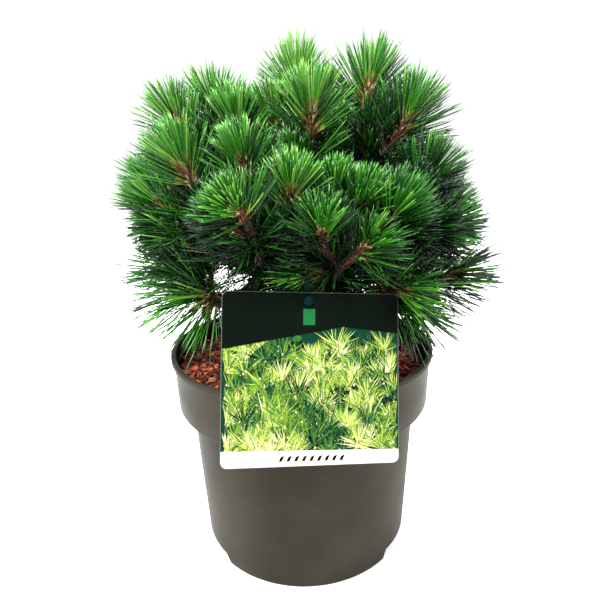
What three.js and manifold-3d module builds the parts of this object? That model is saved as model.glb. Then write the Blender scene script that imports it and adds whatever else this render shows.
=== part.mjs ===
// A dwarf Austrian pine in its round nursery container, with a picture label on a peg.
// Millimetres, +Z up, the origin at the centre of the pot's flat underside.
// The viewer stands on the -Y side. Azimuths are in degrees from +X towards +Y.
import * as THREE from "three";
import { mergeVertices } from "three/addons/utils/BufferGeometryUtils.js";
import Module from "manifold-3d";

const wasm = await Module();
wasm.setup();

// Clearance between neighbouring pieces.
const GAP = 0.3;

// The 19 cm container: a tapering body under a stepped-out collar with a rolled lip.
const POT = {
  height: 152,
  rimRadius: 95,
  lipDepth: 4,
  lipEdge: 0.8,
  collarTopRadius: 93.2,
  collarFootRadius: 92,
  collarFoot: 114,
  bodyTop: 108,
  bodyTopRadius: 82.4,
  baseRadius: 77.2,
  wall: 1.8,
  floor: 2.5,
  cornerRise: 16,
  cornerInset: 14,
  notchHeight: 7.3,
  notchHalfAngle: 45,
  notchSlope: 4,
  notchInnerRadius: 70,
  notchSteps: 8,
  drainHoles: 6,
  drainRadius: 4,
  drainRing: 50,
  drainSides: 8,
  sides: 48,
};
// Compost up to the collar and a layer of bark on it. The sides divide the pot's evenly.
const BED = { soilTop: 130, mulchTop: 141, edgeDrop: 2, bump: 3, sides: 24, rings: 4 };

// The label card leans against the rim and hangs on the peg's knob.
const CARD = {
  width: 104.3,
  height: 99.4,
  thickness: 0.9,
  corner: 4,
  centre: [6.44, -91.59, 164.92],
  turn: 11.4,
  lean: -20.5,
  roll: 5.5,
  hole: [-2.6, 44.5],
  holeRadius: 2.3,
};
const PEG = {
  foot: [8, -75, 106],
  head: [5, -69.5, 219],
  width: 5,
  depth: 3,
  neckRadius: 1.8,
  neckReach: 7,
  knobRadius: 2.9,
  knobDepth: 2.4,
  pinSides: 12,
};

// The trunk stands on the soil, leans a little and ends in the top mass.
const TRUNK = {
  path: [
    [-1, 0, 122],
    [3, 1, 165],
    [-2, 5, 205],
    [0, 10, 238],
  ],
  footRadius: 8,
  tipRadius: 4.4,
  flare: 5,
  flareHeight: 7,
  sides: 10,
  steps: 10,
  stepGrowth: 1.4,
};
const BOUGH = { footRadius: 4.6, tipRadius: 3, sides: 6, steps: 5, rise: 0.35, reach: 0.55 };

// Boughs in the order of their height, each with its start on the trunk, the place of its tip,
// the length of its needles as a share of the usual one, and the shoots of the mass it carries.
// A place is [azimuth, reach from the axis, height], a shoot's place is the point of its bud, and
// a fourth number turns the shoot up or, when negative, down.
const BOUGHS = [
  {
    name: "low_right",
    start: 158,
    tip: [-18, 58, 182],
    needles: 0.95,
    shoots: [
      [-10, 111, 209, 0.25],
      [-31, 90, 188, -0.45],
      [-44, 88, 208, -0.1],
    ],
  },
  {
    name: "low_left",
    start: 161,
    tip: [-165, 55, 186],
    needles: 0.95,
    shoots: [
      [-174, 88, 212, -0.1],
      [-164, 86, 197, -0.5],
      [-141, 78, 200, -0.3],
      [-172, 80, 233, -0.1],
    ],
  },
  {
    name: "low_back",
    start: 165,
    tip: [90, 56, 190],
    needles: 1,
    shoots: [
      [72, 98, 212],
      [108, 98, 210],
      [90, 104, 232],
    ],
  },
  {
    name: "low_back_left",
    start: 175,
    tip: [136, 58, 213],
    needles: 1,
    shoots: [
      [152, 100, 214],
      [130, 102, 214],
      [149, 104, 252],
      [122, 102, 254],
    ],
  },
  {
    name: "front_right",
    start: 178,
    tip: [-66, 52, 213],
    needles: 0.8,
    shoots: [
      [-66, 57, 272],
      [-58, 72, 263, 0.1],
      [-79, 76, 251, 0.2],
      [-60, 83, 240, 0.15],
      [-88, 64, 215, -0.2],
    ],
  },
  {
    name: "low_back_right",
    start: 184,
    tip: [45, 58, 210],
    needles: 1,
    shoots: [
      [18, 102, 214],
      [46, 102, 214],
      [38, 106, 250],
      [66, 102, 252],
    ],
  },
  {
    name: "left",
    start: 190,
    tip: [-170, 52, 222],
    needles: 0.9,
    shoots: [
      [-157, 78, 285],
      [-174, 94, 256, -0.1],
      [178, 96, 267, -0.1],
    ],
  },
  {
    name: "right",
    start: 194,
    tip: [-16, 56, 218],
    needles: 0.9,
    shoots: [
      [-13, 86, 272],
      [-15, 98, 242, -0.1],
      [-47, 82, 254],
      [4, 100, 247],
    ],
  },
  {
    name: "front_left",
    start: 201,
    tip: [-114, 50, 222],
    needles: 0.8,
    shoots: [
      [-122, 59, 289],
      [-93, 62, 276],
      [-112, 90, 262, -0.25],
    ],
  },
  {
    name: "upper_back",
    start: 207,
    tip: [84, 46, 250],
    needles: 1,
    shoots: [
      [62, 82, 297],
      [86, 72, 306],
      [112, 82, 298],
      [96, 98, 266],
    ],
  },
  {
    name: "top_right",
    start: 218,
    tip: [14, 44, 262],
    needles: 0.95,
    shoots: [
      [25, 56, 328],
      [1, 74, 309, 0.2],
      [22, 76, 281],
    ],
  },
  {
    name: "top_left",
    start: 226,
    tip: [163, 46, 262],
    needles: 0.9,
    shoots: [
      [167, 85, 311],
      [150, 69, 320],
      [166, 41, 306],
      [150, 86, 288],
    ],
  },
];
// The shoots of the mass on the trunk's own tip.
const TOP_SHOOTS = [
  [88, 30, 331],
  [-40, 14, 311],
  [135, 22, 309],
];

// A shoot turns away from the crown's heart, and more upwards the higher it stands.
const CROWN = { heart: [0, 0, 190], liftFrom: 200, liftOver: 100, leastLift: -0.1, mostLift: 0.4 };
// A shoot bends over half its length. Its last stretch, the brush, carries the needles.
const SHOOT = {
  stemRadius: 3.2,
  knobDistance: 10,
  knobRadius: 4,
  twigRadius: 2.4,
  bend: 0.5,
  brushRadius: 3.4,
  brush: 46,
  mostBrush: 0.8,
  budLength: 10,
  budRadius: 2.4,
  pointRadius: 0.7,
  sides: 4,
  pathSteps: 6,
};
// Sprays of needles stand out steeply at the foot of the brush and lean forward at its tip.
// Where a spray has no room it is tried again at the next of the lengths, or left out.
const SPRAY = {
  count: 11,
  footAngle: 74,
  tipAngle: 25,
  footLength: 48,
  tipLength: 37,
  lengthSpread: 0.16,
  turn: 137.5,
  turnSpread: 40,
  behindBud: 3.3,
  droop: 0.15,
  droopBelow: 260,
  droopOver: 60,
  width: 6,
  thickness: 2.6,
  widest: 0.5,
  lengths: [1, 0.84, 0.7, 0.56],
  rootShare: 0.12,
  samples: 12,
};
const SEEDS = { needles: 101, bark: 7 };

const COLOURS = {
  pot: 0x55524b,
  soil: 0x2b1d15,
  bark_mulch: 0x7a3f26,
  label_card: 0xb9d24a,
  label_peg: 0x16403c,
  wood: 0x4a3325,
  needles: 0x2f7d2c,
};

const UP = new THREE.Vector3(0, 0, 1);
// A direction that no limb follows, from which rings and sprays are turned.
const ASLANT = new THREE.Vector3(1, 0.3, 0.1);
const radians = THREE.MathUtils.degToRad;
const vector = (list) => new THREE.Vector3(...list);
const place = ([azimuth, reach, height]) =>
  new THREE.Vector3(
    reach * Math.cos(radians(azimuth)),
    reach * Math.sin(radians(azimuth)),
    height,
  );

// A repeatable source of random numbers between 0 and 1.
function seeded(seed) {
  let state = seed;
  return () => {
    state = (state * 1664525 + 1013904223) % 4294967296;
    return state / 4294967296;
  };
}

function solid(geometry) {
  const loose = geometry.index ? geometry.toNonIndexed() : geometry;
  const bare = new THREE.BufferGeometry();
  bare.setAttribute("position", loose.getAttribute("position"));
  const merged = mergeVertices(bare, 1e-4);
  return new wasm.Manifold(
    new wasm.Mesh({
      numProp: 3,
      vertProperties: merged.attributes.position.array,
      triVerts: new Uint32Array(merged.index.array),
    }),
  );
}

function geometryOf(body) {
  const mesh = body.getMesh();
  const geometry = new THREE.BufferGeometry();
  geometry.setAttribute("position", new THREE.BufferAttribute(mesh.vertProperties, 3));
  geometry.setIndex(new THREE.BufferAttribute(mesh.triVerts, 1));
  geometry.computeVertexNormals();
  return geometry;
}

function faceted(points, faces) {
  const geometry = new THREE.BufferGeometry().setFromPoints(points);
  geometry.setIndex(faces);
  return geometry;
}

const join = (bodies) => bodies.reduce((whole, body) => whole.add(body));

function largestBody(body) {
  const bodies = body.decompose();
  return bodies.reduce((best, next) => (next.volume() > best.volume() ? next : best));
}

// A closed skin over rings of equally many points, with a flat cap at each end.
function loft(rings) {
  const sides = rings[0].length;
  const points = rings.flat();
  const faces = [];
  for (let ring = 0; ring + 1 < rings.length; ring += 1) {
    for (let side = 0; side < sides; side += 1) {
      const here = ring * sides + side;
      const beside = ring * sides + ((side + 1) % sides);
      faces.push(here, beside, beside + sides, here, beside + sides, here + sides);
    }
  }
  const last = (rings.length - 1) * sides;
  for (let side = 1; side + 1 < sides; side += 1) {
    faces.push(0, side + 1, side, last, last + side, last + side + 1);
  }
  return faceted(points, faces);
}

// A round, tapering limb through stations, each { at, radius }.
function limb(stations, sides) {
  let across = ASLANT;
  const rings = stations.map(({ at, radius }, index) => {
    const before = stations[Math.max(index - 1, 0)].at;
    const after = stations[Math.min(index + 1, stations.length - 1)].at;
    const along = after.clone().sub(before).normalize();
    across = across.clone().addScaledVector(along, -across.dot(along)).normalize();
    const third = along.clone().cross(across);
    return Array.from({ length: sides }, (unused, side) => {
      const angle = (2 * Math.PI * side) / sides;
      return at
        .clone()
        .addScaledVector(across, radius * Math.cos(angle))
        .addScaledVector(third, radius * Math.sin(angle));
    });
  });
  return loft(rings);
}

function distanceToPath(point, path) {
  const line = new THREE.Line3();
  const nearest = new THREE.Vector3();
  let least = Infinity;
  for (let index = 0; index + 1 < path.length; index += 1) {
    line.set(path[index], path[index + 1]);
    line.closestPointToPoint(point, true, nearest);
    least = Math.min(least, nearest.distanceTo(point));
  }
  return least;
}

// Trunk and boughs as rows of stations, so that other pieces can keep clear of them.
const trunkCurve = new THREE.CatmullRomCurve3(TRUNK.path.map(vector));

function trunkStations() {
  return Array.from({ length: TRUNK.steps + 1 }, (unused, step) => {
    const share = (step / TRUNK.steps) ** TRUNK.stepGrowth;
    const at = trunkCurve.getPointAt(share);
    const taper = THREE.MathUtils.lerp(TRUNK.footRadius, TRUNK.tipRadius, share);
    const above = Math.max(at.z - BED.soilTop, 0);
    return { at, radius: taper + TRUNK.flare * Math.exp(-above / TRUNK.flareHeight) };
  });
}

// The point of the trunk's centre line at a height.
function trunkAt(height) {
  const halvings = 30;
  let low = 0;
  let high = 1;
  for (let halving = 0; halving < halvings; halving += 1) {
    const middle = (low + high) / 2;
    if (trunkCurve.getPointAt(middle).z < height) low = middle;
    else high = middle;
  }
  return trunkCurve.getPointAt(low);
}

// A bough swings outwards first and rises towards its tip.
function boughCurve({ start, tip }) {
  const from = trunkAt(start);
  const to = place(tip);
  const bend = from.clone().lerp(to, BOUGH.reach);
  bend.z = THREE.MathUtils.lerp(from.z, to.z, BOUGH.rise);
  return new THREE.QuadraticBezierCurve3(from, bend, to);
}

function boughStations(row) {
  const curve = boughCurve(row);
  return Array.from({ length: BOUGH.steps + 1 }, (unused, step) => {
    const share = step / BOUGH.steps;
    const radius = THREE.MathUtils.lerp(BOUGH.footRadius, BOUGH.tipRadius, share);
    return { at: curve.getPoint(share), radius };
  });
}

const limbs = [trunkStations(), ...BOUGHS.map(boughStations)];

// A shoot is the way from the mass's knob to the point of its bud.
function shootCurve(knob, row) {
  const bud = place(row);
  const lift = THREE.MathUtils.clamp(
    (bud.z - CROWN.liftFrom) / CROWN.liftOver,
    CROWN.leastLift,
    CROWN.mostLift,
  );
  const aim = bud.clone().sub(vector(CROWN.heart)).normalize();
  aim.addScaledVector(UP, row[3] ?? lift).normalize();
  const bend = bud.clone().addScaledVector(aim, -SHOOT.bend * bud.distanceTo(knob));
  return new THREE.QuadraticBezierCurve3(knob, bend, bud);
}

const brushLength = (curve) => Math.min(SHOOT.brush, SHOOT.mostBrush * curve.getLength());

// Where a mass starts: a short stem that carries on from its limb's tip, and the knob on it.
function massStart(stations) {
  const end = stations[stations.length - 1].at;
  const way = end.clone().sub(stations[stations.length - 2].at).normalize();
  return {
    stemFoot: end.clone().addScaledVector(way, GAP),
    knob: end.clone().addScaledVector(way, SHOOT.knobDistance),
    way,
  };
}

function mass(name, stations, needleShare, rows) {
  const start = massStart(stations);
  const curves = rows.map((row) => shootCurve(start.knob, row));
  const paths = curves.map((curve) => curve.getPoints(SHOOT.pathSteps));
  return { name, start, needleShare, curves, paths };
}

const masses = [
  mass("needles_top", limbs[0], 1, TOP_SHOOTS),
  ...BOUGHS.map(({ name, needles, shoots }, index) =>
    mass("needles_" + name, limbs[index + 1], needles, shoots),
  ),
];

// The label's own frame: x to its right, y away from the viewer, z up its face.
const cardFrame = new THREE.Matrix4()
  .makeRotationFromEuler(
    new THREE.Euler(radians(CARD.lean), radians(CARD.roll), radians(CARD.turn), "ZXY"),
  )
  .setPosition(vector(CARD.centre));
const intoCardFrame = cardFrame.clone().invert();
const pegPath = [vector(PEG.foot), vector(PEG.head)];

function clearOfPot(point, margin) {
  const radius = Math.hypot(point.x, point.y);
  if (point.z > POT.height + margin) return true;
  if (radius > POT.rimRadius) return radius > POT.rimRadius + margin;
  const inside = POT.collarTopRadius - POT.wall - margin;
  return radius < inside && point.z > BED.mulchTop + BED.bump + margin;
}

// Needles stay behind the label, and none hangs before its face.
function clearOfCard(point, margin) {
  const local = point.clone().applyMatrix4(intoCardFrame);
  if (Math.abs(local.x) > CARD.width / 2 + margin) return true;
  if (Math.abs(local.z) > CARD.height / 2 + margin) return true;
  return local.y > CARD.thickness + margin;
}

function clearOfLimbs(point, margin) {
  return limbs.every((stations) => {
    const path = stations.map(({ at }) => at);
    const thickest = stations[0].radius;
    const near = distanceToPath(point, path);
    if (near > thickest + margin) return true;
    const closest = stations.reduce((best, next) =>
      next.at.distanceTo(point) < best.at.distanceTo(point) ? next : best,
    );
    return near > closest.radius + margin;
  });
}

// Every mass keeps the space that lies nearer to its own shoots than to those of any other.
function inOwnSpace(point, own, margin) {
  const home = Math.min(...own.paths.map((path) => distanceToPath(point, path)));
  return masses.every(
    (other) =>
      other === own ||
      other.paths.every((path) => distanceToPath(point, path) - home > 2 * margin),
  );
}

function isFree(point, own, halfWidth) {
  const margin = halfWidth + GAP;
  return (
    clearOfPot(point, margin) &&
    clearOfCard(point, margin) &&
    distanceToPath(point, pegPath) > PEG.width / 2 + margin &&
    clearOfLimbs(point, margin) &&
    inOwnSpace(point, own, margin)
  );
}

// A spray of needles as a slim three-sided spindle, pointed at both ends.
function spindle(root, tip, across) {
  const along = tip.clone().sub(root).normalize();
  const side = across.clone().addScaledVector(along, -across.dot(along)).normalize();
  const face = along.clone().cross(side);
  const middle = root.clone().lerp(tip, SPRAY.widest);
  const points = [
    root,
    middle.clone().addScaledVector(side, SPRAY.width / 2),
    middle.clone().addScaledVector(face, SPRAY.thickness),
    middle.clone().addScaledVector(side, -SPRAY.width / 2),
    tip,
  ];
  return faceted(points, [0, 2, 1, 0, 3, 2, 0, 1, 3, 1, 2, 4, 2, 3, 4, 3, 1, 4]);
}

// The half width of a spindle at a share of its length.
function spindleHalfWidth(share) {
  const toMiddle = share < SPRAY.widest ? share / SPRAY.widest : (1 - share) / (1 - SPRAY.widest);
  return (toMiddle * SPRAY.width) / 2;
}

// The longest version of one spray that stays in the mass's own space, or nothing.
function spray(own, root, way, across, fullLength) {
  for (const share of SPRAY.lengths) {
    const tip = root.clone().addScaledVector(way, share * fullLength);
    const free = Array.from({ length: SPRAY.samples }, (unused, sample) => {
      const along = THREE.MathUtils.lerp(SPRAY.rootShare, 1, (sample + 1) / SPRAY.samples);
      const point = root.clone().lerp(tip, along);
      return isFree(point, own, spindleHalfWidth(along));
    });
    if (free.every(Boolean)) return spindle(root, tip, across);
  }
  return null;
}

// Sprays set round the last stretch of a shoot by the golden angle.
function sprays(own, curve, random) {
  const length = curve.getLength();
  const low = THREE.MathUtils.clamp((SPRAY.droopBelow - curve.v2.z) / SPRAY.droopOver, 0, 1);
  const made = [];
  for (let count = 0; count < SPRAY.count; count += 1) {
    const along = (count + 0.5) / SPRAY.count;
    const share = 1 - (brushLength(curve) * (1 - along)) / length;
    const root = curve.getPointAt(Math.min(share, 1 - SPRAY.behindBud / length));
    const axis = curve.getTangentAt(share);
    const turn = radians(count * SPRAY.turn + SPRAY.turnSpread * random());
    const outward = ASLANT.clone().cross(axis).normalize().applyAxisAngle(axis, turn);
    const angle = radians(THREE.MathUtils.lerp(SPRAY.footAngle, SPRAY.tipAngle, along));
    const way = axis.clone().multiplyScalar(Math.cos(angle));
    way.addScaledVector(outward, Math.sin(angle));
    way.addScaledVector(UP, -SPRAY.droop * low).normalize();
    const usual = THREE.MathUtils.lerp(SPRAY.footLength, SPRAY.tipLength, along);
    const spread = 1 + SPRAY.lengthSpread * (random() - 0.5);
    const fullLength = own.needleShare * usual * spread;
    const one = spray(own, root, way, axis.clone().cross(way), fullLength);
    if (one) made.push(solid(one));
  }
  return made;
}

// A shoot's twig, the thicker stretch that carries needles, and its pointed bud.
function shootWood(curve) {
  const brush = 1 - brushLength(curve) / curve.getLength();
  const bud = 1 - SHOOT.budLength / curve.getLength();
  const stations = [
    [0, SHOOT.twigRadius],
    [brush / 2, SHOOT.twigRadius],
    [brush, SHOOT.brushRadius],
    [(brush + bud) / 2, SHOOT.brushRadius],
    [bud, SHOOT.budRadius],
    [1, SHOOT.pointRadius],
  ];
  return limb(
    stations.map(([share, radius]) => ({ at: curve.getPointAt(share), radius })),
    SHOOT.sides,
  );
}

function massBody(own, index) {
  const { stemFoot, knob, way } = own.start;
  const stem = [
    { at: stemFoot, radius: SHOOT.stemRadius },
    { at: knob, radius: SHOOT.knobRadius },
    { at: knob.clone().addScaledVector(way, SHOOT.knobRadius), radius: SHOOT.twigRadius },
  ];
  const random = seeded(SEEDS.needles + index);
  const pieces = [solid(limb(stem, BOUGH.sides))];
  for (const curve of own.curves) {
    pieces.push(solid(shootWood(curve)), ...sprays(own, curve, random));
  }
  return largestBody(join(pieces));
}

// The trunk grown by a margin, cut off flat at ground level.
function trunkBody(margin) {
  const stations = trunkStations().map(({ at, radius }) => ({ at, radius: radius + margin }));
  const depth = BED.soilTop;
  const ground = new THREE.BoxGeometry(POT.rimRadius, POT.rimRadius, depth);
  ground.translate(0, 0, BED.soilTop + GAP - margin - depth / 2);
  return solid(limb(stations, TRUNK.sides)).subtract(solid(ground));
}

// A bough is cut clear of the trunk, and its tip stays flat.
const boughBody = (stations) =>
  largestBody(solid(limb(stations, BOUGH.sides)).subtract(trunkBody(GAP)));

function lathe(outline, sides) {
  const points = [...outline, outline[0]].map(([radius, height]) => new THREE.Vector2(radius, height));
  const geometry = new THREE.LatheGeometry(points, sides);
  geometry.rotateX(Math.PI / 2);
  return geometry;
}

// The inner face of the pot, from the rim down to the floor's edge.
const potInside = (clearance) => [
  [POT.collarTopRadius - POT.wall - clearance, POT.height],
  [POT.collarFootRadius - POT.wall - clearance, POT.collarFoot],
  [POT.bodyTopRadius - POT.wall - clearance, POT.bodyTop],
  [POT.baseRadius - POT.wall - clearance, POT.cornerRise + POT.floor],
  [POT.baseRadius - POT.cornerInset - clearance, POT.floor + clearance],
];

// One gap in the pot's bottom edge, wider at the foot than at its top.
function notch(middleAzimuth) {
  const arc = (radius, halfAngle, height) =>
    Array.from({ length: POT.notchSteps + 1 }, (unused, step) => {
      const turn = halfAngle * ((2 * step) / POT.notchSteps - 1);
      return place([middleAzimuth + turn, radius, height]);
    });
  const strip = (halfAngle, height) => [
    ...arc(POT.rimRadius, halfAngle, height),
    ...arc(POT.notchInnerRadius, halfAngle, height).reverse(),
  ];
  const bottom = strip(POT.notchHalfAngle, -POT.floor);
  const top = strip(POT.notchHalfAngle - POT.notchSlope, POT.notchHeight);
  return solid(arcBlock(bottom, top));
}

// A block over a curved strip, whose caps are split into quads between its two arcs.
function arcBlock(bottom, top) {
  const count = bottom.length;
  const faces = [];
  for (let index = 0; index < count; index += 1) {
    const next = (index + 1) % count;
    faces.push(index, next, next + count, index, next + count, index + count);
  }
  for (let index = 0; index + 1 < count / 2; index += 1) {
    const across = count - 1 - index;
    faces.push(index, across, index + 1, index + 1, across, across - 1);
    faces.push(index + count, index + 1 + count, across + count);
    faces.push(index + 1 + count, across - 1 + count, across + count);
  }
  return faceted([...bottom, ...top], faces);
}

function pot() {
  const shell = solid(
    lathe(
      [
        [0, 0],
        [POT.baseRadius, 0],
        [POT.bodyTopRadius, POT.bodyTop],
        [POT.collarFootRadius, POT.collarFoot],
        [POT.collarTopRadius, POT.height - POT.lipDepth],
        [POT.rimRadius, POT.height - POT.lipDepth + POT.lipEdge],
        [POT.rimRadius, POT.height - POT.lipEdge],
        [POT.rimRadius - POT.lipEdge, POT.height],
        ...potInside(0),
        [0, POT.floor],
      ],
      POT.sides,
    ),
  );
  const cuts = [notch(0), notch(180)];
  for (let index = 0; index < POT.drainHoles; index += 1) {
    const { x, y } = place([(index + 0.5) * (360 / POT.drainHoles), POT.drainRing, 0]);
    cuts.push(solid(upright(POT.drainRadius, 4 * POT.floor, POT.drainSides).translate(x, y, 0)));
  }
  return shell.subtract(join(cuts));
}

// A round post along Z, centred on the origin.
const upright = (radius, height, sides) =>
  new THREE.CylinderGeometry(radius, radius, height, sides).rotateX(Math.PI / 2);

// The peg: a flat stake behind the card, and a knob on a neck through the card's hole.
function pegBody(clearance) {
  const [foot, head] = pegPath;
  const stake = new THREE.BoxGeometry(
    PEG.width + 2 * clearance,
    PEG.depth + 2 * clearance,
    foot.distanceTo(head) + 2 * clearance,
  );
  stake.applyQuaternion(
    new THREE.Quaternion().setFromUnitVectors(UP, head.clone().sub(foot).normalize()),
  );
  stake.translate(...foot.clone().lerp(head, 0.5).toArray());
  const [holeX, holeZ] = CARD.hole;
  const pin = (radius, from, to) => {
    const round = new THREE.CylinderGeometry(radius, radius, to - from, PEG.pinSides);
    round.translate(holeX, (from + to) / 2, holeZ);
    return solid(round.applyMatrix4(cardFrame));
  };
  const knobBack = -CARD.thickness / 2 - GAP;
  const knobFront = knobBack - PEG.knobDepth;
  return join([
    solid(stake),
    pin(PEG.neckRadius, (knobFront + knobBack) / 2, PEG.neckReach),
    pin(PEG.knobRadius, knobFront, knobBack),
  ]);
}

function card() {
  const right = CARD.width / 2;
  const top = CARD.height / 2;
  const inset = CARD.corner;
  const outline = new THREE.Shape();
  outline.moveTo(-right + inset, -top);
  outline.lineTo(right - inset, -top);
  outline.absarc(right - inset, -top + inset, inset, -Math.PI / 2, 0);
  outline.absarc(right - inset, top - inset, inset, 0, Math.PI / 2);
  outline.absarc(-right + inset, top - inset, inset, Math.PI / 2, Math.PI);
  outline.absarc(-right + inset, -top + inset, inset, Math.PI, 1.5 * Math.PI);
  outline.holes.push(new THREE.Path().absarc(...CARD.hole, CARD.holeRadius, 0, 2 * Math.PI, true));
  const geometry = new THREE.ExtrudeGeometry(outline, {
    depth: CARD.thickness,
    bevelEnabled: false,
    curveSegments: 4,
  });
  geometry.rotateX(Math.PI / 2);
  geometry.translate(0, CARD.thickness / 2, 0);
  return geometry;
}

// Compost under the bark, clear of the pot's inner face.
function soilBody() {
  const [, collar, step, corner, edge] = potInside(GAP);
  const surface = [collar[0], BED.soilTop];
  const outline = [[0, POT.floor + GAP], edge, corner, step, collar, surface, [0, BED.soilTop]];
  return solid(lathe(outline, BED.sides)).subtract(pegBody(GAP));
}

// The bark layer: a disc whose top swells and dips by a seeded rule.
function mulchBody() {
  const random = seeded(SEEDS.bark);
  const edge = POT.collarFootRadius - POT.wall - GAP;
  const ring = (radius, height, bump) =>
    Array.from({ length: BED.sides }, (unused, side) =>
      place([(360 * side) / BED.sides, radius, height + bump * (random() - 0.5)]),
    );
  const rings = [
    ring(edge, BED.soilTop + GAP, 0),
    ring(edge, BED.mulchTop - BED.edgeDrop, BED.bump),
  ];
  for (let step = 1; step < BED.rings; step += 1) {
    rings.push(ring(edge * (1 - step / BED.rings), BED.mulchTop, BED.bump));
  }
  rings.push(ring(1, BED.mulchTop, 0));
  return solid(loft(rings)).subtract(trunkBody(GAP)).subtract(pegBody(GAP));
}

const group = new THREE.Group();

function addPiece(name, geometry, colour, roughness, parent = group) {
  const material = new THREE.MeshStandardMaterial({ color: colour, roughness, metalness: 0 });
  const mesh = new THREE.Mesh(geometry, material);
  mesh.name = name;
  parent.add(mesh);
}

addPiece("pot", geometryOf(pot()), COLOURS.pot, 0.5);
addPiece("soil", geometryOf(soilBody()), COLOURS.soil, 0.95);
addPiece("bark_mulch", geometryOf(mulchBody()), COLOURS.bark_mulch, 0.9);
const cardPlace = new THREE.Group();
cardPlace.applyMatrix4(cardFrame);
group.add(cardPlace);
addPiece("label_card", card(), COLOURS.label_card, 0.35, cardPlace);
addPiece("label_peg", geometryOf(pegBody(0)), COLOURS.label_peg, 0.4);
addPiece("trunk", geometryOf(trunkBody(0)), COLOURS.wood, 0.9);
BOUGHS.forEach((row, index) => {
  addPiece("bough_" + row.name, geometryOf(boughBody(limbs[index + 1])), COLOURS.wood, 0.9);
});
masses.forEach((own, index) => {
  addPiece(own.name, geometryOf(massBody(own, index)), COLOURS.needles, 0.5);
});

export default group;
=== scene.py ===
import math

import bpy
import numpy as np
from mathutils import Matrix, Vector


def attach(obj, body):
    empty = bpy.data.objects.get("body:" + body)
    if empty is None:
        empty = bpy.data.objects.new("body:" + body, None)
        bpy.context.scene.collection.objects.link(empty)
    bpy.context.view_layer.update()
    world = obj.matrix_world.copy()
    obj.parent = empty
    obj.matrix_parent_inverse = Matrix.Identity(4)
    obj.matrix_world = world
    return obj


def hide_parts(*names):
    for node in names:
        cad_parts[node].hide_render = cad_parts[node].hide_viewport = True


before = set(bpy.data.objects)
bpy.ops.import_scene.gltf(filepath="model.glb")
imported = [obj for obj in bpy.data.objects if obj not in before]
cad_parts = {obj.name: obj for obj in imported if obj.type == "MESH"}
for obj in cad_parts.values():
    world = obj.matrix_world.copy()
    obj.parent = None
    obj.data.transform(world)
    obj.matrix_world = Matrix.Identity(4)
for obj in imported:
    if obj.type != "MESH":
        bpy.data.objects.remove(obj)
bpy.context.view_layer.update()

MM = 0.001
UP = np.array([0.0, 0.0, 1.0])
# A slanting direction, from which directions at right angles to a limb are worked out.
ASLANT = np.array([1.0, 0.3, 0.1])
GOLDEN_ANGLE = math.radians(137.5)

# The photograph's view, worked out from the pot's rim and foot and the label's corners.
CAMERA = {
    "at": (4.7, -382.4, 301.1),
    "pitch": 17.76,
    "roll": -1.25,
    "focal_pixels": 551.8,
    "image": 615,
}

# The container and what lies in it, with the sizes of the solid model. Needles keep the clear
# height above the bed and the clear distance from the peg's line.
POT = {
    "height": 152,
    "rim": 95,
    "lip_depth": 4,
    "collar_top": 93.2,
    "collar_foot_radius": 92,
    "collar_foot": 114,
    "body_top": 108,
    "body_top_radius": 82.4,
    "base": 77.2,
    "wall": 1.8,
    "floor": 2.5,
    "corner_rise": 16,
    "corner_inset": 14,
    "notch_height": 7.3,
    "notch_half_angle": 45,
    "notch_slope": 4,
    "notch_inner": 70,
    "drain_holes": 6,
    "drain_radius": 4,
    "drain_ring": 50,
    "sides": 192,
}
BED = {
    "soil_top": 130,
    "top": 139.5,
    "edge": POT["collar_foot_radius"] - POT["wall"] - 0.3,
    "clear": 143,
    "chips": 5200,
}
CARD = {
    "width": 104.3,
    "height": 99.4,
    "thickness": 0.9,
    "corner": 4,
    "centre": (6.44, -91.59, 164.92),
    "turn": 11.4,
    "lean": -20.5,
    "roll": 5.5,
    "hole": (-2.6, 44.5),
}
PEG = {
    "foot": (8, -75, 106),
    "head": (5, -69.5, 219),
    "width": 5,
    "depth": 3,
    "neck": 1.8,
    "knob": 2.9,
    "knob_depth": 2.4,
    "clear": 3.1,
}

# The limbs, by the same rule as in the solid model.
TRUNK = {
    "path": [(-1, 0, 122), (3, 1, 165), (-2, 5, 205), (0, 10, 238)],
    "foot": 8,
    "tip": 4.4,
    "flare": 5,
    "flare_height": 7,
}
BOUGH = {"foot": 4.6, "tip": 3, "rise": 0.35, "reach": 0.55, "steps": 5}
# Each bough: start height on the trunk, tip [azimuth, reach, height] and the length of its needles
# as a share of the usual one.
BOUGHS = {
    "low_right": (158, (-18, 58, 182), 0.86),
    "low_left": (161, (-165, 55, 186), 0.95),
    "low_back": (165, (90, 56, 190), 1),
    "low_back_left": (175, (136, 58, 213), 1),
    "front_right": (178, (-66, 52, 213), 0.78),
    "low_back_right": (184, (45, 58, 210), 1),
    "left": (190, (-170, 52, 222), 0.9),
    "right": (194, (-16, 56, 218), 0.9),
    "front_left": (201, (-114, 50, 222), 0.78),
    "upper_back": (207, (84, 46, 250), 1),
    "top_right": (218, (14, 44, 262), 0.95),
    "top_left": (226, (163, 46, 262), 0.9),
}
# The top's needle length, and the points of the trunk's line that its stem and limb follow.
TOP = {"share": 0.9, "stem": [-26, -1], "limb": [-60, -31]}
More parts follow.
